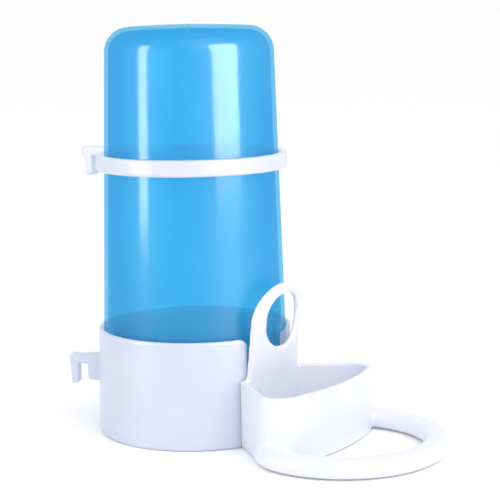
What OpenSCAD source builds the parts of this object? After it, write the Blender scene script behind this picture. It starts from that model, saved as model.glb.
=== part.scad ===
// Clip-on gravity feeder and drinker for a small-animal or bird cage.
// A tapered tank stands mouth down in a dish; the dish drops into an open-fronted cup that hooks on the
// cage, and a hoop with a second hook steadies the tank. The dish carries the trough, a perch and a pull loop.
// Origin: on the tank's axis at the underside of the cup. +X points to the trough, +Z is up. Millimetres.

/* [Tank] */
// Outer diameter of the tank where it enters the cup
tank_d = 65.2; // [64.6:0.1:65.2]
// Height of the tank's closed top above the underside of the cup
tank_top = 143.6; // [125:0.1:165]
// Narrowing of the tank's radius for each millimetre of height
tank_taper = 0.0292; // [0.02:0.0002:0.03]
// Wall thickness of the tank
tank_wall = 1.5; // [1.2:0.1:2]
// Radius of the rounded edge around the closed top
tank_top_round = 9; // [7:0.5:11]
// Outer diameter of the neck below the shoulder
neck_d = 61; // [59:0.1:61.4]
// Height of the shoulder between neck and body
shoulder_z = 36; // [34:0.5:37]
// Height of the open mouth
mouth_z = 9; // [8:0.5:12]

/* [Cup] */
// Outer diameter of the cup at its rim
cup_rim_d = 68.8; // [68.6:0.1:69.4]
// Outer diameter of the cup at its underside
cup_base_d = 70.2; // [69.8:0.1:70.4]
// Inner diameter of the cup
cup_bore_d = 65.8; // [65.7:0.1:66]
// Height of the cup's rim
cup_h = 37.7; // [35:0.1:40]
// Thickness of the cup's floor
cup_floor = 1.6; // [1.2:0.1:1.6]
// Width of the opening in the front of the cup
front_w = 25.6; // [25.4:0.1:27]

/* [Dish] */
// Outer diameter of the round bowl inside the cup
bowl_d = 65; // [64.4:0.1:65]
// Height of the rim of the bowl and the trough
dish_h = 23.5; // [20:0.5:26]
// Wall thickness of the dish
dish_wall = 1.8; // [1.4:0.1:2]
// Distance from the axis to the front of the trough
trough_reach = 62.5; // [60:0.5:66]
// Radius of the trough's front corners
trough_corner_r = 7.5; // [5:0.5:8]

/* [Perch] */
// Distance from the axis to the centre of the perch ring
perch_x = 62; // [60:0.5:64]
// Radius of the perch ring along the middle of its bar
perch_r = 31.8; // [31:0.1:33]
// Width of the perch bar
perch_w = 8.6; // [8:0.1:9.4]
// Height of the perch bar
perch_h = 6.6; // [6:0.1:7.6]

/* [Pull loop] */
// Height of the top of the loop
loop_top = 56.3; // [52:0.1:60]
// Width of the loop
loop_w = 29.2; // [28:0.1:30]
// Radius of the loop's upper corners
loop_corner_r = 13; // [11:0.5:14]
// Thickness of the loop
loop_t = 1.8; // [1.6:0.1:2.2]
// Outward lean of the loop for each millimetre of height
loop_lean = 0.1; // [0.06:0.01:0.14]
// Width of the finger hole
hole_w = 18.4; // [16:0.2:19]
// Height of the finger hole
hole_h = 18.6; // [16:0.2:19]

/* [Hoop and hooks] */
// Height of the hoop's lower edge
hoop_z = 93.9; // [70:0.5:110]
// Height of the hoop's band
hoop_h = 5.6; // [5:0.1:8]
// Thickness of the hoop's band
hoop_t = 2.6; // [2:0.1:3]
// Gap of a hook, where the cage wire goes
hook_gap = 3.4; // [2.2:0.1:4]
// Width of a hook
hook_w = 4.6; // [4:0.1:7]
// Length of a hook's finger below its bar
hook_drop = 7.2; // [5:0.1:9]
// Direction of the cup's hook, seen from above, anticlockwise from the trough
cup_hook_dir = -153; // [-180:1:-120]
// Direction of the hoop's hook, seen from above, anticlockwise from the trough
hoop_hook_dir = -177; // [-200:1:-120]

/* [Hidden] */
fine = 128;
eps = 0.02;

// Tank
body_r = tank_d / 2;
neck_r = neck_d / 2;
crown = 0.6;

// Cup
cup_edge_r = 1.2;
front_corner_r = 2.6;

// Plane inside the cup from which the shapes at its front are cut and extruded
front_x = 20;

// Dish: the parts outside the cup keep clear of its wall, the parts inside clear of its bore
outside_r = cup_base_d / 2 + 0.3;
bowl_r = bowl_d / 2;
bowl_wall = 1.2;
bowl_floor_z = cup_floor + 0.3;
bowl_floor_t = 1.5;
throat_w = front_w - 0.8;
throat_inner_w = throat_w - 2 * bowl_wall;
trough_z = 0.3;
trough_floor_t = 2.2;
corner_x = trough_reach - 11;
corner_y = 22.6;
side_x = 31;
side_y = 16.2;
rib_top = mouth_z - 0.2;
rib_count = 3;
weir_z = 13;

// Perch: its ends leave the ring at this angle from +X and turn in on this radius
perch_end_a = 98;
perch_end_r = 14;

// Pull loop
loop_foot_r = 1.8;
hole_r = 8.2;
loop_band = 3.9;

// Hooks: the finger stands this far from the axis on both hooks, so that both reach the same cage wall
finger_r = 43;
finger_t = 3.2;
hook_bar_t = 3.4;
hoop_hook_overhang = 1.3;
cup_hook_top = 25.9;
hoop_hook_top = hoop_z + hoop_h + 0.6;

function circle_points(centre, r, a0, a1, steps) =
    [for (i = [0 : steps]) let (a = a0 + (a1 - a0) * i / steps) centre + r * [cos(a), sin(a)]];

// ---------- tank ----------

// Half profile of a tank that is closed at the top, drawn from the axis outwards
module tank_profile(inset) {
    open_z = inset > 0 ? mouth_z - 1 : mouth_z;
    top_z = tank_top - inset;
    round_r = tank_top_round - inset;
    wall_top_r = body_r - inset - tank_taper * (top_z - round_r - shoulder_z);
    base_r = body_r - inset;
    neck_inner = neck_r - inset;
    shoulder = shoulder_z + inset;
    polygon(concat(
        [[0, open_z], [neck_inner, open_z]],
        [[neck_inner, shoulder], [base_r, shoulder]],
        circle_points([wall_top_r - round_r, top_z - round_r], round_r, 0, 88, 10),
        [[0, top_z + crown]]
    ));
}

module tank() {
    color([0.20, 0.66, 0.93, 0.55])
    rotate_extrude($fn = fine)
    difference() {
        tank_profile(0);
        tank_profile(tank_wall);
    }
}

// ---------- hooks ----------

// A hook that opens downwards, standing out from radius root_r with its top at top_z: a bar over the
// wire, a block that keeps the wire off the root, and a finger. The bar ends past the finger by overhang.
module hook(root_r, top_z, root_h, overhang = 0) {
    bar_z = top_z - hook_bar_t;
    tip_z = bar_z - hook_drop;
    finger_end = finger_r + finger_t;
    block_end = finger_r - hook_gap;
    bar_end = finger_end + overhang;
    translate([0, hook_w / 2, 0])
        rotate([90, 0, 0])
            linear_extrude(hook_w)
                polygon(concat(
                    [[root_r, top_z], [bar_end, top_z]],
                    overhang > 0 ? [[bar_end, bar_z]] : [],
                    [[finger_end, bar_z], [finger_end - 0.6, tip_z + 0.4]],
                    [[finger_r + 1.2, tip_z - 0.4], [finger_r, tip_z], [finger_r, bar_z]],
                    [[block_end, bar_z], [block_end, top_z - root_h], [root_r, top_z - root_h]]
                ));
}

// ---------- hoop ----------

module hoop() {
    bore_r = body_r - tank_taper * (hoop_z - shoulder_z) + 0.3;
    outer_r = bore_r + hoop_t;
    edge = 0.8;
    color([0.95, 0.96, 1.0])
    difference() {
        union() {
            translate([0, 0, hoop_z])
                rotate_extrude($fn = fine)
                    polygon([
                        [bore_r - 1, 0], [outer_r - edge, 0], [outer_r, edge],
                        [outer_r, hoop_h - edge], [outer_r - edge, hoop_h], [bore_r - 1, hoop_h]
                    ]);
            rotate([0, 0, hoop_hook_dir])
                hook(bore_r + hoop_t / 2, hoop_hook_top, hoop_h + 0.6, hoop_hook_overhang);
        }
        translate([0, 0, hoop_z - hoop_h])
            cylinder(r = bore_r, h = 3 * hoop_h, $fn = fine);
    }
}

// ---------- cup ----------

// Opening in the cup's front wall, as a shape across the front: straight sides and rounded top corners
module front_opening() {
    translate([-front_w / 2, cup_floor])
        square([front_w, cup_h]);
    for (side = [-1, 1])
        translate([side * front_w / 2, cup_h])
            difference() {
                translate([side > 0 ? -eps : -front_corner_r, -front_corner_r])
                    square([front_corner_r + eps, front_corner_r + 1]);
                translate([side * front_corner_r, -front_corner_r])
                    circle(r = front_corner_r, $fn = 48);
            }
}

module cup() {
    base_r = cup_base_d / 2;
    rim_r = cup_rim_d / 2;
    bore_r = cup_bore_d / 2;
    color([0.86, 0.89, 0.96])
    union() {
        difference() {
            rotate_extrude($fn = fine)
                polygon(concat(
                    [[0, 0]],
                    circle_points([base_r - cup_edge_r, cup_edge_r], cup_edge_r, -90, 0, 5),
                    [[rim_r, cup_h - 0.6], [rim_r - 0.5, cup_h], [bore_r + 0.3, cup_h]],
                    [[bore_r, cup_h - 0.4], [bore_r, cup_floor], [0, cup_floor]]
                ));
            translate([front_x, 0, 0])
                rotate([90, 0, 90])
                    linear_extrude(base_r)
                        front_opening();
        }
        difference() {
            rotate([0, 0, cup_hook_dir])
                hook(bore_r + 1, cup_hook_top, 9.4);
            cylinder(r = bore_r + 0.5, h = cup_h, $fn = fine);
        }
    }
}

// ---------- dish ----------

// Plan of the trough, moved inwards by inset: two flared sides, two corners and a bowed front
module trough_plan(inset) {
    r = trough_corner_r - inset;
    reach = trough_reach - inset;
    gap = trough_reach - corner_x;
    bow_r = (gap * gap + corner_y * corner_y - trough_corner_r * trough_corner_r)
        / (2 * (gap - trough_corner_r));
    bow_x = trough_reach - bow_r;
    bow_a = atan2(corner_y, corner_x - bow_x);
    to_corner = [corner_x - side_x, corner_y - side_y];
    side_a = atan2(to_corner[1], to_corner[0]) + asin(trough_corner_r / norm(to_corner));
    start = [side_x + inset * sin(side_a), side_y - inset * cos(side_a)];
    upper = concat(
        circle_points([bow_x, 0], bow_r - inset, 0, bow_a, 8),
        circle_points([corner_x, corner_y], r, bow_a, side_a + 90, 8),
        [start, [front_x, start[1]]]
    );
    lower = [for (i = [len(upper) - 1 : -1 : 1]) [upper[i][0], -upper[i][1]]];
    polygon(concat(upper, lower));
}

// Bar of the perch swept round the origin at radius r
module perch_sweep(r) {
    bar_r = perch_h / 2;
    rotate_extrude($fn = fine)
        translate([r, 0]) {
            for (side = [-1, 1])
                translate([side * (perch_w / 2 - bar_r), 0])
                    circle(r = bar_r, $fn = 32);
            translate([-(perch_w / 2 - bar_r), -bar_r])
                square([perch_w - perch_h, perch_h]);
        }
}

// Open ring round the front of the trough, whose two ends turn in to meet the trough's sides
module perch() {
    inset_r = perch_r - perch_end_r;
    reach = perch_r + perch_w;
    translate([perch_x, 0, trough_z + perch_h / 2]) {
        intersection() {
            perch_sweep(perch_r);
            union() {
                translate([0, -reach, -perch_h])
                    cube([reach, 2 * reach, 2 * perch_h]);
                for (side = [0, 1])
                    mirror([0, side, 0])
                        rotate([0, 0, perch_end_a - 90])
                            translate([0, 0, -perch_h])
                                cube([reach, reach, 2 * perch_h]);
            }
        }
        for (side = [0, 1])
            mirror([0, side, 0])
                rotate([0, 0, perch_end_a])
                    translate([inset_r, 0, 0])
                        intersection() {
                            perch_sweep(perch_end_r);
                            translate([0, 0, -perch_h])
                                cube([reach, reach, 2 * perch_h]);
                        }
    }
}

// Loop outline across the front: straight legs and a round-cornered top
module loop_outline() {
    spread = loop_w / 2 - loop_corner_r;
    shoulder = loop_top - loop_corner_r;
    translate([-loop_w / 2, weir_z])
        square([loop_w, shoulder - weir_z]);
    translate([-spread, shoulder])
        square([2 * spread, loop_corner_r]);
    for (side = [-1, 1])
        translate([side * spread, shoulder])
            circle(r = loop_corner_r, $fn = 96);
    // feet that flare out to the rim of the dish
    for (side = [0, 1])
        mirror([side, 0])
            translate([loop_w / 2 - eps, dish_h - eps])
                difference() {
                    square(loop_foot_r);
                    translate([loop_foot_r + eps, loop_foot_r + eps])
                        circle(r = loop_foot_r, $fn = 48);
                }
}

// Finger hole outline across the front
module hole_outline() {
    base = loop_top - loop_band - hole_h;
    for (x = [-1, 1], z = [0, 1])
        translate([x * (hole_w / 2 - hole_r), base + hole_r + z * (hole_h - 2 * hole_r)])
            circle(r = hole_r, $fn = 64);
    translate([-hole_w / 2, base + hole_r])
        square([hole_w, hole_h - 2 * hole_r]);
    translate([-(hole_w / 2 - hole_r), base])
        square([hole_w - 2 * hole_r, hole_h]);
}

// Curved wall around the axis that stands upright to the dish's rim and leans outwards above it
module loop_wall() {
    inner = outside_r;
    foot = dish_h + 1;
    top = loop_top + 2;
    lean = loop_lean * (top - foot);
    rotate_extrude($fn = fine)
        polygon([
            [inner, weir_z], [inner + loop_t, weir_z], [inner + loop_t, foot],
            [inner + loop_t + lean, top], [inner + lean, top], [inner, foot]
        ]);
}

module pull_loop() {
    intersection() {
        loop_wall();
        translate([front_x, 0, 0])
            rotate([90, 0, 90])
                linear_extrude(outside_r)
                    difference() {
                        loop_outline();
                        hole_outline();
                    }
    }
}

// Everything of the dish that lies inside the cup: bowl, throat through the front opening, ribs
module bowl() {
    difference() {
        union() {
            translate([0, 0, bowl_floor_z])
                cylinder(r = bowl_r, h = dish_h - bowl_floor_z, $fn = fine);
            // throat, which ends inside the trough's back wall
            intersection() {
                translate([front_x, -throat_w / 2, bowl_floor_z])
                    cube([outside_r, throat_w, dish_h - bowl_floor_z]);
                cylinder(r = outside_r + 1, h = dish_h, $fn = fine);
            }
        }
        translate([0, 0, bowl_floor_z + bowl_floor_t])
            cylinder(r = bowl_r - bowl_wall, h = dish_h, $fn = fine);
        translate([front_x, -throat_inner_w / 2, bowl_floor_z + bowl_floor_t])
            cube([outside_r, throat_inner_w, dish_h]);
    }
    // ribs that hold the tank's mouth above the floor
    for (i = [0 : rib_count - 1])
        rotate([0, 0, 60 + 120 * i])
            translate([neck_r - 4, -0.8, bowl_floor_z + eps])
                cube([bowl_r - bowl_wall / 2 - neck_r + 4, 1.6, rib_top - bowl_floor_z]);
}

module trough() {
    difference() {
        union() {
            translate([0, 0, trough_z])
                linear_extrude(dish_h - trough_z)
                    trough_plan(0);
            perch();
        }
        translate([0, 0, trough_z + trough_floor_t])
            linear_extrude(dish_h)
                trough_plan(dish_wall);
        translate([0, 0, -1])
            cylinder(r = outside_r, h = dish_h + 2, $fn = fine);
    }
    // back walls on both sides of the throat, following the cup
    intersection() {
        difference() {
            translate([0, 0, trough_z])
                cylinder(r = outside_r + dish_wall, h = dish_h - trough_z, $fn = fine);
            translate([0, 0, -1])
                cylinder(r = outside_r, h = dish_h + 2, $fn = fine);
            translate([front_x, -throat_inner_w / 2, trough_z + trough_floor_t])
                cube([outside_r, throat_inner_w, dish_h]);
        }
        linear_extrude(dish_h)
            trough_plan(0.4);
    }
}

module dish() {
    color([0.95, 0.95, 1.0])
    union() {
        bowl();
        trough();
        pull_loop();
    }
}

tank();
hoop();
cup();
dish();
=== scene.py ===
"""Looks of a clip-on cage drinker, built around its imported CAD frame.

The three white mouldings (cup, dish, hoop) are each written as one distance function, so that every
edge gets the rounding and every joint the fillet of a real moulding, and are meshed on a fine grid.
The blue tank is turned from its half profile. Lengths in the shape functions are millimetres, in the
part's own frame: +Z up along the tank's axis, +X towards the trough.
"""

import math

import bpy
import numpy as np
from mathutils import Euler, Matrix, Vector


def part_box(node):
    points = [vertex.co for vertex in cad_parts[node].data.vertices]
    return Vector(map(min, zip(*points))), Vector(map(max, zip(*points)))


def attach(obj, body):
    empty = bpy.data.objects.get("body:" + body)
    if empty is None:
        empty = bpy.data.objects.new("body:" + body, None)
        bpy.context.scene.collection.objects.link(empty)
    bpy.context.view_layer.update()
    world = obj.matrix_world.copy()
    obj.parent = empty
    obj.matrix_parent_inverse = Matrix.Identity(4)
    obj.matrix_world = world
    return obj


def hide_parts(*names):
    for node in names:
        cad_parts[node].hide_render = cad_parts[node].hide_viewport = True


MM = 0.001


# ---------- the frame ----------

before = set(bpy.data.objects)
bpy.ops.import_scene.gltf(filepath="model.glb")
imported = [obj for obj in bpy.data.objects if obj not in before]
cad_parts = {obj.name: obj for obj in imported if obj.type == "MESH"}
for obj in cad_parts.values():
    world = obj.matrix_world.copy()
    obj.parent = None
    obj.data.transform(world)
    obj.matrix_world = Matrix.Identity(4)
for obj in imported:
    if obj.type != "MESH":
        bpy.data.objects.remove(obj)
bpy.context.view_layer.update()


def box_mm(node):
    """Lowest and highest corner of a CAD node, in millimetres."""
    low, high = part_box(node)
    return np.array(low) / MM, np.array(high) / MM


TANK_LOW, TANK_HIGH = box_mm("tank")
CUP_LOW, CUP_HIGH = box_mm("cup")
DISH_LOW, DISH_HIGH = box_mm("dish")
HOOP_LOW, HOOP_HIGH = box_mm("hoop")

# Clearance between neighbouring mouldings
GAP = 0.3

# Cup: its outside draws in by the draft between its underside and its rim
CUP_R = CUP_HIGH[1]
CUP_DRAFT = 0.7
CUP_BORE_R = 32.9
CUP_H = CUP_HIGH[2]
CUP_FLOOR = 1.6
CUP_EDGE_R = 1.2
CUP_RIM_EDGE_R = 0.55
FRONT_W = 25.6
FRONT_CORNER_R = 2.6

# Tank
TANK_R = TANK_HIGH[0]
TANK_TAPER = 0.0292
TANK_WALL = 1.5
TANK_ROUND = 9.0
NECK_R = 30.5
SHOULDER_Z = 36.0
MOUTH_Z = TANK_LOW[2]
CROWN = 0.6
GATE_DEPTH = 0.45
GATE_R = 1.3
TANK_SEGMENTS = 192

# Dish: the throat starts at a plane inside the cup
TROUGH_Z = DISH_LOW[2]
DISH_H = 23.5
WALL = 1.8
TROUGH_FLOOR = 2.2
CLEAR_R = CUP_R + GAP
FRONT_X = 20.0
BOWL_R = 32.5
BOWL_WALL = 1.2
BOWL_Z = 1.9
BOWL_FLOOR_Z = 3.4
THROAT_W = FRONT_W - 0.8
TROUGH_REACH = 62.5
CORNER = (51.5, 22.6)
CORNER_R = 7.5
SIDE_START = (31.0, 16.2)
WEIR_Z = 13.0
RIB_COUNT = 3
RIB_TOP = MOUTH_Z - 0.2
RIB_R = NECK_R - 0.6
RIB_LENGTH = 5.4
RIB_T = 1.6

# Pull loop
LOOP_TOP = DISH_HIGH[2]
LOOP_W = 29.2
LOOP_FOOT_R = 2.2
LEAN_Z = DISH_H + 1
LOOP_CORNER_R = 13.0
LOOP_T = 1.8
LOOP_LEAN = 0.1
LOOP_BAND = 3.9
HOLE_W = 18.4
HOLE_H = 18.6
HOLE_R = 8.2

# Perch
PERCH_X = 62.0
PERCH_W = 8.6
PERCH_H = 6.6
PERCH_R = DISH_HIGH[0] - PERCH_X - PERCH_W / 2
PERCH_END_A = 98.0
PERCH_END_R = 14.0

# Hoop and hooks
HOOP_Z = 93.9
HOOP_H = 5.6
HOOP_T = 2.6
HOOP_EDGE_R = 0.75
HOOP_BORE_R = TANK_R - TANK_TAPER * (HOOP_Z - SHOULDER_Z) + GAP
FINGER_R = 43.0
FINGER_T = 3.2
BAR_T = 3.4
HOOK_W = 4.6
HOOK_DROP = 7.2
HOOK_EDGE_R = 0.9
HOOK_SIDE_R = 0.5
FINGER_EDGE_R = 0.8
FINGER_DRAFT = 0.5
HOOP_HOOK_OVERHANG = 1.3
HOOP_HOOK_RISE = 0.6
HOOK_GAP = 3.4
CUP_HOOK_TOP = 25.9
CUP_HOOK_ROOT_H = 9.4
CUP_HOOK_DIR = -153.0
HOOP_HOOK_DIR = -177.0


# ---------- distance functions ----------


def both(a, b, r=0.0):
    """Where both shapes are, with the edge between them rounded to radius r."""
    if r == 0:
        return np.maximum(a, b)
    corner = np.hypot(np.maximum(r + a, 0), np.maximum(r + b, 0))
    return np.minimum(-r, np.maximum(a, b)) + corner


def either(a, b, r=0.0):
    """Where either shape is, with a fillet of radius r where they meet."""
    return -both(-a, -b, r)


def less(a, b, r=0.0):
    """The first shape without the second, with the new edge rounded to radius r."""
    return both(a, -b, r)


def slab(value, low, high):
    """Between two values of one coordinate."""
    return np.maximum(low - value, value - high)


def rounded_box(u, v, centre, size, r):
    """A rectangle in two coordinates with its corners rounded to radius r."""
    du = np.abs(u - centre[0]) - size[0] / 2 + r
    dv = np.abs(v - centre[1]) - size[1] / 2 + r
    return np.hypot(np.maximum(du, 0), np.maximum(dv, 0)) + np.minimum(np.maximum(du, dv), 0) - r


def arc_path(x, y, centre, radius, middle, half):
    """Distance in plan from an arc that spans middle +- half degrees about its centre."""
    turn = math.radians(middle)
    along = (x - centre[0]) * math.cos(turn) + (y - centre[1]) * math.sin(turn)
    across = np.abs((y - centre[1]) * math.cos(turn) - (x - centre[0]) * math.sin(turn))
    end_along = radius * math.cos(math.radians(half))
    end_across = radius * math.sin(math.radians(half))
    on_arc = np.abs(np.hypot(along, across) - radius)
    at_end = np.hypot(along - end_along, across - end_across)
    return np.where(np.arctan2(across, along) <= math.radians(half), on_arc, at_end)


def hook(x, y, z, direction, root_r, top, root_h, overhang=0.0):
    """A hook that opens downwards: a bar, a block against the wall, and a finger."""
    turn = math.radians(direction)
    out = x * math.cos(turn) + y * math.sin(turn)
    across = y * math.cos(turn) - x * math.sin(turn)
    tip = FINGER_R + FINGER_T
    end = tip + overhang
    stop = FINGER_R - HOOK_GAP
    drop = BAR_T + HOOK_DROP

    def bar_from_root(reach, height):
        centre = ((root_r + reach) / 2, top - height / 2)
        return rounded_box(out, z, centre, (reach - root_r, height), HOOK_EDGE_R)

    finger = rounded_box(out, z, ((FINGER_R + tip) / 2, top - drop / 2), (FINGER_T, drop), FINGER_EDGE_R)
    # the finger's outer face draws in towards its tip
    slope = FINGER_DRAFT / HOOK_DROP
    finger = both(finger, out - tip + slope * (top - BAR_T - z), HOOK_SIDE_R)
    profile = either(bar_from_root(end, BAR_T), finger, 0.6)
    profile = either(profile, bar_from_root(stop, root_h), HOOK_EDGE_R)
    return both(profile, np.abs(across) - HOOK_W / 2, HOOK_SIDE_R)


def hoop_shape(x, y, z):
    """The band round the tank, with its hook."""
    rho = np.hypot(x, y)
    centre = (HOOP_BORE_R + HOOP_T / 2, HOOP_Z + HOOP_H / 2)
    band = rounded_box(rho, z, centre, (HOOP_T, HOOP_H), HOOP_EDGE_R)
    root_r = HOOP_BORE_R + HOOP_T / 2
    root_h = HOOP_H + HOOP_HOOK_RISE
    arm = hook(x, y, z, HOOP_HOOK_DIR, root_r, HOOP_Z + root_h, root_h, HOOP_HOOK_OVERHANG)
    return either(band, arm, 0.8)


def cup_shape(x, y, z):
    """The round cup with its floor, its front opening and its hook."""
    rho = np.hypot(x, y)
    outer = rho - (CUP_R - CUP_DRAFT * z / CUP_H)
    # the opening is in the front only, so behind the axis everything is wall
    opening = np.where(x > 0, FRONT_W / 2 - np.abs(y), -CUP_R)
    edge = both(z - CUP_H, either(opening, z - CUP_FLOOR, 0.8), FRONT_CORNER_R)
    bore = both(rho - CUP_BORE_R, CUP_FLOOR - z, CUP_EDGE_R)
    wall = both(outer, -z, CUP_EDGE_R)
    wall = both(less(wall, bore), edge, CUP_RIM_EDGE_R)
    arm = hook(x, y, z, CUP_HOOK_DIR, CUP_BORE_R + 1, CUP_HOOK_TOP, CUP_HOOK_ROOT_H)
    # the hook's root stays out of the bore
    arm = both(arm, CUP_BORE_R + 0.5 - rho)
    return either(wall, arm, 0.9)


def trough_plan(x, y):
    """Plan of the trough: flared sides, round corners and a bowed front."""
    y = np.abs(y)
    gap = TROUGH_REACH - CORNER[0]
    bow_r = (gap**2 + CORNER[1] ** 2 - CORNER_R**2) / (2 * (gap - CORNER_R))
    bow_x = TROUGH_REACH - bow_r
    run = (CORNER[0] - SIDE_START[0], CORNER[1] - SIDE_START[1])
    side_a = math.atan2(run[1], run[0]) + math.asin(CORNER_R / math.hypot(*run))
    side = (y - SIDE_START[1]) * math.cos(side_a) - (x - SIDE_START[0]) * math.sin(side_a)
    front = np.hypot(x - bow_x, y) - bow_r
    past_side = (x - CORNER[0]) * math.cos(side_a) + (y - CORNER[1]) * math.sin(side_a) > 0
    bow_a = math.atan2(CORNER[1], CORNER[0] - bow_x)
    past_bow = np.arctan2(y, x - bow_x) > bow_a
    corner = np.hypot(x - CORNER[0], y - CORNER[1]) - CORNER_R
    return np.where(past_side & past_bow, corner, np.maximum(side, front))


def perch_shape(x, y, z):
    """The ring round the trough's front, whose ends turn in to the trough's sides."""
    end = math.radians(PERCH_END_A)
    offset = PERCH_R - PERCH_END_R
    turn_in = (PERCH_X + offset * math.cos(end), offset * math.sin(end))
    main = arc_path(x, y, (PERCH_X, 0), PERCH_R, 0, PERCH_END_A)
    half_quarter = 45
    inward = arc_path(x, np.abs(y), turn_in, PERCH_END_R, PERCH_END_A + half_quarter, half_quarter)
    path = np.minimum(main, inward)
    bar_r = PERCH_H / 2
    flat = PERCH_W / 2 - bar_r
    return np.hypot(np.maximum(path - flat, 0), z - TROUGH_Z - bar_r) - bar_r


def back_wall_shape(x, y, z):
    """The trough's curved back wall and the tab that rises from it, with the finger hole."""
    lean = CLEAR_R + LOOP_LEAN * np.maximum(z - LEAN_Z, 0)
    sheet = slab(np.hypot(x, y), lean, lean + LOOP_T)
    # the tab's outline runs on below the trough, so that only its upper corners are round
    tab_h = 80
    tab = rounded_box(y, z, (0, LOOP_TOP - tab_h / 2), (LOOP_W, tab_h), LOOP_CORNER_R)
    hole_z = LOOP_TOP - LOOP_BAND - HOLE_H / 2
    hole = rounded_box(y, z, (0, hole_z), (HOLE_W, HOLE_H), HOLE_R)
    passage = both(np.abs(y) - THROAT_W / 2 + BOWL_WALL, slab(z, BOWL_FLOOR_Z, WEIR_Z), 1.0)
    outline = less(less(either(z - DISH_H, tab, LOOP_FOOT_R), hole), passage)
    wall = both(both(outline, TROUGH_Z - z), sheet, 0.75)
    # its ends stop inside the trough's side walls
    return both(both(wall, -x), trough_plan(x, y) + 0.6)


def bowl_shape(x, y, z):
    """The bowl inside the cup, with its throat and the ribs that carry the tank's mouth."""
    rho = np.hypot(x, y)
    throat = both(np.abs(y) - THROAT_W / 2, np.maximum(FRONT_X - x, rho - CLEAR_R - 1))
    throat_hollow = both(np.abs(y) - THROAT_W / 2 + BOWL_WALL, FRONT_X - x)
    bowl = both(either(rho - BOWL_R, throat), slab(z, BOWL_Z, DISH_H), 0.5)
    hollow = both(either(rho - BOWL_R + BOWL_WALL, throat_hollow), BOWL_FLOOR_Z - z, 0.8)
    bowl = less(bowl, hollow, 0.4)
    for i in range(RIB_COUNT):
        turn = 2 * math.pi * (i + 0.5) / RIB_COUNT
        out = x * math.cos(turn) + y * math.sin(turn)
        across = y * math.cos(turn) - x * math.sin(turn)
        rib_h = RIB_TOP - BOWL_Z
        rib = rounded_box(out, z, (RIB_R, BOWL_Z + rib_h / 2), (RIB_LENGTH, rib_h), 0.5)
        bowl = either(bowl, both(rib, np.abs(across) - RIB_T / 2, 0.4), 0.5)
    return bowl


def dish_shape(x, y, z):
    """The bowl and, outside the cup, the trough with its perch and its pull loop."""
    outside_cup = CLEAR_R - np.hypot(x, y)
    plan = trough_plan(x, y)
    trough = both(both(plan, TROUGH_Z - z, 1.4), z - DISH_H, 0.3)
    trough = either(trough, perch_shape(x, y, z), 1.6)
    trough = both(trough, outside_cup, 0.3)
    trough = less(trough, both(plan + WALL, TROUGH_Z + TROUGH_FLOOR - z, 2.0), 0.75)
    trough = either(trough, back_wall_shape(x, y, z), 0.8)
    # fillets at the back wall's ends keep clear of the cup
    trough = both(trough, outside_cup)
    return either(bowl_shape(x, y, z), trough)


# ---------- meshing ----------


def net_quads(values, inside, cell_id):
    """Quads of the surface net: one for each grid edge that the surface crosses."""
    quads = []
    for axis in range(3):
        others = [a for a in range(3) if a != axis]
        low = [slice(1, -1)] * 3
        low[axis] = slice(0, -1)
        high = list(low)
        high[axis] = slice(1, None)
        crossed = inside[tuple(low)] != inside[tuple(high)]
        leaves = inside[tuple(low)][crossed]
        place = np.argwhere(crossed)
        place[:, others] += 1
        ring = []
        for du, dv in ((0, 0), (1, 0), (1, 1), (0, 1)):
            cell = place.copy()
            cell[:, others[0]] -= du
            cell[:, others[1]] -= dv
            ring.append(cell_id[cell[:, 0], cell[:, 1], cell[:, 2]])
        ring = np.stack(ring, 1)
        flip = leaves if axis == 1 else ~leaves
        ring[flip] = ring[flip][:, ::-1]
        quads.append(ring)
    return np.concatenate(quads)


def surface_net(shape, low, high, cell):
    """Points and quads of the shape's surface, on a grid of the given cell size."""
    # the grid reaches two cells past the box on every side
    axes = [np.arange(lo - 2 * cell, hi + 2.5 * cell, cell) for lo, hi in zip(low, high)]
    values = shape(*np.meshgrid(*axes, indexing="ij", sparse=True))
    inside = values < 0
    count = np.zeros(tuple(n - 1 for n in inside.shape), np.int8)
    corners = [(i, j, k) for i in (0, 1) for j in (0, 1) for k in (0, 1)]
    for i, j, k in corners:
        count += inside[i : i + count.shape[0], j : j + count.shape[1], k : k + count.shape[2]]
    active = np.argwhere((count > 0) & (count < 8))
    cell_id = np.full(count.shape, -1, np.int64)
    cell_id[tuple(active.T)] = np.arange(len(active))

    # each cell's point starts at the mean of the crossings on the cell's edges
    total = np.zeros((len(active), 3))
    found = np.zeros(len(active))
    for a in corners:
        for axis in range(3):
            if a[axis] == 1:
                continue
            b = tuple(1 if n == axis else a[n] for n in range(3))
            va = values[tuple((active + a).T)]
            vb = values[tuple((active + b).T)]
            cross = (va < 0) != (vb < 0)
            share = np.where(cross, va / np.where(cross, va - vb, 1), 0)
            point = np.array(a, float) + share[:, None] * (np.array(b) - np.array(a))
            total += np.where(cross[:, None], point, 0)
            found += cross
    origin = np.array([axis[0] for axis in axes])
    points = origin + cell * (active + total / found[:, None])
    return points, net_quads(values, inside, cell_id)


def settle(points, shape, cell):
    """Moves points onto the shape's true surface along its gradient."""
    rounds = 3
    step = 0.02
    # below this the gradient is too weak to trust, as at an edge
    least = 0.25
    for _ in range(rounds):
        here = shape(*points.T)
        ahead = [shape(*(points + step * e).T) for e in np.eye(3)]
        behind = [shape(*(points - step * e).T) for e in np.eye(3)]
        slope = (np.stack(ahead, 1) - np.stack(behind, 1)) / (2 * step)
        size = np.maximum((slope**2).sum(1), least)
        move = -(here / size)[:, None] * slope
        points = points + np.clip(move, -cell / 2, cell / 2)
    return points


def new_object(name, points, faces):
    """A smooth-shaded mesh object from points in millimetres and a list of faces."""
    mesh = bpy.data.meshes.new(name)
    mesh.from_pydata((np.asarray(points) * MM).tolist(), [], faces)
    mesh.update()
    mesh.shade_smooth()
    obj = bpy.data.objects.new(name, mesh)
    bpy.context.scene.collection.objects.link(obj)
    return obj


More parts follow.
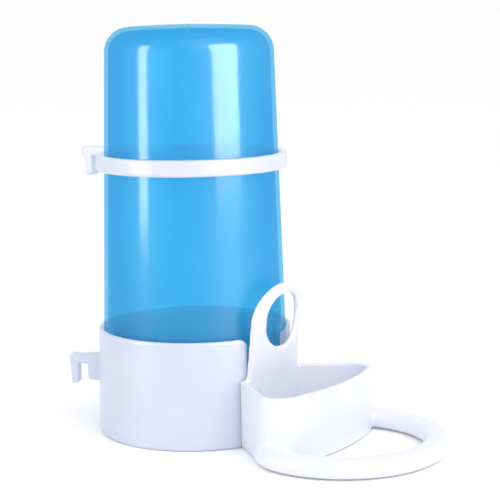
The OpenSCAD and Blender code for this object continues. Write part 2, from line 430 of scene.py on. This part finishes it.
def moulding(name, node, shape, cell):
    """Meshes a white moulding's distance function within its CAD node's box."""
    low, high = box_mm(node)
    points, quads = surface_net(shape, low, high, cell)
    points = np.clip(settle(points, shape, cell), low, high)
    return new_object(name, points, quads.tolist())


def tank_half_profile():
    """Half profile of the tank, from the inside of its top down to the mouth and up the outside."""

    def arc(cx, cz, r, a0, a1, steps):
        angles = [math.radians(a0 + (a1 - a0) * i / steps) for i in range(steps + 1)]
        return [(cx + r * math.cos(a), cz + r * math.sin(a)) for a in angles]

    def wall_r(z, inset):
        return TANK_R - inset - TANK_TAPER * (z - SHOULDER_Z)

    def flank(inset, steps, start, end):
        heights = np.linspace(start, end, steps + 1)[1:-1]
        return [(wall_r(z, inset), z) for z in heights]

    def dimple(r):
        """Depth of the small mark where the moulding's gate was."""
        return GATE_DEPTH * math.exp(-((r / GATE_R) ** 2))

    top = TANK_HIGH[2] - CROWN
    outer_z = top - TANK_ROUND
    inner_r = TANK_ROUND - TANK_WALL
    outer_end = wall_r(outer_z, 0) - TANK_ROUND
    inner_end = wall_r(outer_z, TANK_WALL) - inner_r
    neck_in = NECK_R - TANK_WALL
    step_in = SHOULDER_Z + TANK_WALL
    lip_r = 0.7
    neck_low = MOUTH_Z + 2 * lip_r

    inside = [
        (r, top - TANK_WALL + CROWN * (1 - (r / inner_end) ** 2)) for r in np.linspace(0, inner_end, 14)
    ]
    inside += arc(inner_end, outer_z, inner_r, 84, 0, 12)
    inside += flank(TANK_WALL, 24, outer_z, step_in + 1.2)
    inside += arc(wall_r(step_in, TANK_WALL) - 1.0, step_in + 1.0, 1.0, 0, -90, 4)
    inside += arc(neck_in + 0.8, step_in - 0.8, 0.8, 90, 180, 4)
    inside += [(neck_in, z) for z in np.linspace(step_in - 1.6, neck_low, 6)]
    lip = arc(neck_in + lip_r, MOUTH_Z + lip_r, lip_r, 180, 270, 4)
    lip += arc(NECK_R - lip_r, MOUTH_Z + lip_r, lip_r, -90, 0, 4)
    outside = [(NECK_R, z) for z in np.linspace(neck_low, SHOULDER_Z - 0.8, 6)]
    outside += arc(NECK_R + 0.5, SHOULDER_Z - 0.5, 0.5, 180, 90, 3)
    outside += arc(TANK_R - 0.9, SHOULDER_Z + 0.9, 0.9, -90, 0, 5)
    outside += flank(0, 26, SHOULDER_Z + 1.0, outer_z)
    outside += arc(outer_end, outer_z, TANK_ROUND, 0, 86, 16)
    dimple_end = 2.8
    radii = [r for r in np.linspace(outer_end, 0, 16) if r > dimple_end]
    crown = [(r, top + CROWN * (1 - (r / outer_end) ** 2) - dimple(r)) for r in radii]
    crown += [(r, top + CROWN - dimple(r)) for r in (2.6, 1.9, 1.3, 0.8, 0.4, 0)]
    return inside + lip + outside + crown


def turned(name, profile, segments):
    """Turns a half profile, which starts and ends on the axis, round the Z axis."""
    middle = profile[1:-1]
    points = [(0, 0, profile[0][1]), (0, 0, profile[-1][1])]
    for i in range(segments):
        a = 2 * math.pi * i / segments
        points += [(r * math.cos(a), r * math.sin(a), z) for r, z in middle]
    rows = len(middle)
    faces = []
    for i in range(segments):
        here = 2 + i * rows
        there = 2 + (i + 1) % segments * rows
        faces.append((0, there, here))
        faces.append((1, here + rows - 1, there + rows - 1))
        faces += [(there + k, there + k + 1, here + k + 1, here + k) for k in range(rows - 1)]
    return new_object(name, points, faces)


# ---------- materials ----------


class Graph:
    """A material's nodes, with short calls to add and link them."""

    def __init__(self, name):
        self.material = bpy.data.materials.new(name)
        self.material.use_nodes = True
        self.tree = self.material.node_tree
        self.tree.nodes.clear()

    def node(self, kind, settings=None, **inputs):
        """Adds a node; an input takes a value or another node's output socket."""
        made = self.tree.nodes.new("ShaderNode" + kind)
        for key, value in (settings or {}).items():
            setattr(made, key, value)
        for key, value in inputs.items():
            socket = made.inputs[key.replace("_", " ")]
            if isinstance(value, bpy.types.NodeSocket):
                self.tree.links.new(value, socket)
            else:
                socket.default_value = value
        return made

    def noise(self, place, scale, detail=3.0):
        return self.node("TexNoise", Vector=place, Scale=scale, Detail=detail).outputs["Fac"]

    def band(self, value, low, high):
        """Maps 0 to 1 onto low to high."""
        return self.node("MapRange", Value=value, To_Min=low, To_Max=high).outputs["Result"]

    def tint(self, value, low, high):
        """A colour between two, by value."""
        ramp = self.node("ValToRGB", Fac=value)
        for stop, position, colour in zip(ramp.color_ramp.elements, (0.3, 0.7), (low, high)):
            stop.position = position
            stop.color = (*colour, 1)
        return ramp.outputs["Color"]

    def math(self, operation, first, second):
        made = self.node("Math", {"operation": operation})
        for socket, value in zip(made.inputs, (first, second)):
            if isinstance(value, float):
                socket.default_value = value
            else:
                self.tree.links.new(value, socket)
        return made.outputs[0]

    def mix(self, share, first, second):
        """A colour between two colour sockets."""
        made = self.node("Mix", {"data_type": "RGBA"})
        for socket, value in ((0, share), (6, first), (7, second)):
            self.tree.links.new(value, made.inputs[socket])
        return made.outputs[2]

    def blend(self, share, first, second):
        """The second shader over the first, by share."""
        made = self.node("MixShader", Fac=share)
        self.tree.links.new(first.outputs[0], made.inputs[1])
        self.tree.links.new(second.outputs[0], made.inputs[2])
        return made

    def finish(self, shader):
        self.node("OutputMaterial", Surface=shader.outputs[0])
        return self.material


def white_plastic(name, colour):
    """Moulded white polypropylene: faint mottling, an orange-peel skin and soft gloss."""
    g = Graph(name)
    place = g.node("TexCoord").outputs["Object"]
    mottle = g.noise(place, 60.0)
    deep = tuple(0.965 * c for c in colour)
    peel = g.node("Bump", Height=g.noise(place, 900.0, 2.0), Strength=0.05, Distance=0.0002).outputs[0]
    swell = g.noise(place, 45.0, 1.0)
    sink = g.node("Bump", Height=swell, Strength=0.10, Distance=0.0006, Normal=peel)
    shader = g.node(
        "BsdfPrincipled",
        Base_Color=g.tint(mottle, deep, colour),
        Roughness=g.band(g.noise(place, 220.0, 4.0), 0.26, 0.42),
        Normal=sink.outputs[0],
        IOR=1.49,
        Subsurface_Weight=0.12,
        Subsurface_Scale=0.002,
    )
    return g.finish(shader)


def blue_plastic(name):
    """Clear blue moulded plastic: tinted see-through walls, deeper at the edges, under a wavy glossy skin."""
    g = Graph(name)
    place = g.node("TexCoord").outputs["Object"]
    stretched = g.node("Mapping", Vector=place, Scale=(1.0, 1.0, 0.35)).outputs[0]
    flow = g.noise(stretched, 55.0, 2.0)
    waves = g.node("Bump", Height=flow, Strength=0.12, Distance=0.0006).outputs[0]

    # what is seen through the wall, with a little of the plastic's own scattering
    facing = g.node("LayerWeight", Blend=0.5).outputs["Facing"]
    edge = g.node("MapRange", Value=facing, From_Min=0.3, From_Max=0.95).outputs[0]
    clear = g.tint(flow, (0.32, 0.80, 0.94), (0.37, 0.83, 0.955))
    deep = g.tint(flow, (0.26, 0.72, 0.90), (0.31, 0.75, 0.92))
    through = g.node("BsdfTransparent", Color=g.mix(edge, clear, deep))
    cloudy = g.tint(flow, (0.02, 0.40, 0.77), (0.03, 0.45, 0.81))
    milk = g.node("BsdfPrincipled", Base_Color=cloudy, Roughness=0.5)
    milk_share = 0.24
    body = g.blend(milk_share, through, milk)

    # reflection by angle, on the faces that look out of the plastic only
    rough = g.band(g.noise(place, 160.0, 4.0), 0.10, 0.19)
    gloss = g.node("BsdfGlossy", Color=(1, 1, 1, 1), Roughness=rough, Normal=waves)
    grazing = g.math("POWER", g.node("LayerWeight", Blend=0.5, Normal=waves).outputs["Facing"], 5.0)
    outward = g.math("SUBTRACT", 1.0, g.node("NewGeometry").outputs["Backfacing"])
    shine = g.math("MULTIPLY", g.band(grazing, 0.018, 0.20), outward)
    skin = g.blend(shine, body, gloss)

    # light on its way to what stands inside and behind loses less colour than the eye's path does
    lit = g.node("BsdfTransparent", Color=(0.95, 0.99, 1.0, 1))
    path = g.node("LightPath").outputs
    passing = g.math("MAXIMUM", path["Is Shadow Ray"], path["Is Diffuse Ray"])
    return g.finish(g.blend(passing, skin, lit))


def floor_paint(name):
    """Matt pale paint, lifted a little so that the floor meets the backdrop without a line."""
    g = Graph(name)
    place = g.node("TexCoord").outputs["Object"]
    shader = g.node(
        "BsdfPrincipled",
        Base_Color=g.tint(g.noise(place, 30.0), (0.94, 0.94, 0.94), (0.96, 0.96, 0.96)),
        Roughness=0.9,
        Emission_Color=(1, 1, 1, 1),
        Emission_Strength=0.052,
    )
    return g.finish(shader)


# ---------- the pieces ----------

# Each white moulding by its node: its shape, the size of its grid's cells and its colour. All three are the
# same white plastic. Their colours differ only by painted shade: the cup is darkest and bluest, the hoop is
# between, and the dish is lightest
WHITES_WITH_PAINTED_SHADE = {
    "cup": (cup_shape, 0.55, (0.63, 0.675, 0.81)),
    "dish": (dish_shape, 0.62, (0.815, 0.83, 0.915)),
    "hoop": (hoop_shape, 0.4, (0.69, 0.725, 0.84)),
}


def fit_piece(piece, node, material):
    """Gives a piece its material and puts it on its body, in place of its CAD node."""
    piece.data.materials.append(material)
    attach(piece, node)
    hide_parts(node)


def build_pieces():
    tank = turned("tank_shell", tank_half_profile(), TANK_SEGMENTS)
    fit_piece(tank, "tank", blue_plastic("tank_blue"))
    # each piece's colour carries painted shade, darker and bluer on the cup than on the dish
    for node, (shape, cell, colour) in WHITES_WITH_PAINTED_SHADE.items():
        slot = f"{node}_white"
        piece = moulding(f"{node}_moulding", node, shape, cell)
        fit_piece(piece, node, white_plastic(slot, colour))


# ---------- stage, light and camera ----------

FLOOR_RINGS_M = (0.5, 1.5, 5.0, 15.0, 40.0)
FLOOR_SIDES = 64
BACKDROP = 0.98

CAMERA_AZIMUTH = 35.0
CAMERA_PLACE = Vector((0.32024, -0.42213, 0.14739))
CAMERA_LOOK = Vector((-0.5666, 0.8092, -0.1556))
CAMERA_ROLL = 0.90
CAMERA_LENS = 108.0


def build_floor():
    """A pale round floor, large enough to reach the horizon in every view."""
    points = [(0, 0, 0)]
    for r in FLOOR_RINGS_M:
        angles = [2 * math.pi * i / FLOOR_SIDES for i in range(FLOOR_SIDES)]
        points += [(r / MM * math.cos(a), r / MM * math.sin(a), 0) for a in angles]
    faces = []
    for i in range(FLOOR_SIDES):
        after = (i + 1) % FLOOR_SIDES
        faces.append((0, 1 + i, 1 + after))
        for k in range(len(FLOOR_RINGS_M) - 1):
            inner = 1 + k * FLOOR_SIDES
            outer = inner + FLOOR_SIDES
            faces.append((inner + i, outer + i, outer + after, inner + after))
    floor = new_object("floor", points, faces)
    floor.data.materials.append(floor_paint("floor_paint"))


def area_light(name, azimuth, height, distance, size, power):
    """A soft light at an azimuth from the camera's own, positive to its right, aimed at the tank."""
    light = bpy.data.lights.new(name, "AREA")
    light.shape = "RECTANGLE"
    light.size, light.size_y = size
    light.energy = power
    obj = bpy.data.objects.new(name, light)
    a = math.radians(CAMERA_AZIMUTH - 90 + azimuth)
    obj.location = Vector((distance * math.cos(a), distance * math.sin(a), height))
    tank_middle = Vector((0, 0, 0.08))
    obj.rotation_euler = (tank_middle - obj.location).to_track_quat("-Z", "Y").to_euler()
    bpy.context.scene.collection.objects.link(obj)
    return obj


def glint(light):
    """Keeps a light to the reflections on the glossy plastic."""
    light.visible_diffuse = False
    light.visible_transmission = False
    light.visible_camera = False


def build_lights():
    area_light("key_box", azimuth=30, height=0.75, distance=0.70, size=(0.8, 0.8), power=2.6)
    glint(area_light("right_glint", azimuth=50, height=0.30, distance=0.70, size=(0.48, 0.5), power=17))
    glint(area_light("left_glint", azimuth=-62, height=0.25, distance=0.80, size=(0.18, 0.6), power=7.5))
    world = bpy.data.worlds.new("studio")
    world.use_nodes = True
    sky = world.node_tree.nodes["Background"]
    sky.inputs["Color"].default_value = (1.0, 1.0, 1.0, 1)
    sky.inputs["Strength"].default_value = BACKDROP
    bpy.context.scene.world = world


def build_camera():
    """A long lens at the place from which the object is seen a little from above."""
    data = bpy.data.cameras.new("camera")
    data.lens = CAMERA_LENS
    data.sensor_width = 36.0
    data.clip_start = 0.01
    data.clip_end = 50.0
    camera = bpy.data.objects.new("camera", data)
    camera.location = CAMERA_PLACE
    level = CAMERA_LOOK.to_track_quat("-Z", "Y")
    roll = Euler((0, 0, math.radians(-CAMERA_ROLL))).to_quaternion()
    camera.rotation_euler = (level @ roll).to_euler()
    bpy.context.scene.collection.objects.link(camera)
    bpy.context.scene.camera = camera


build_camera()
build_pieces()
build_floor()
build_lights()
bpy.context.scene.view_settings.view_transform = "Standard"
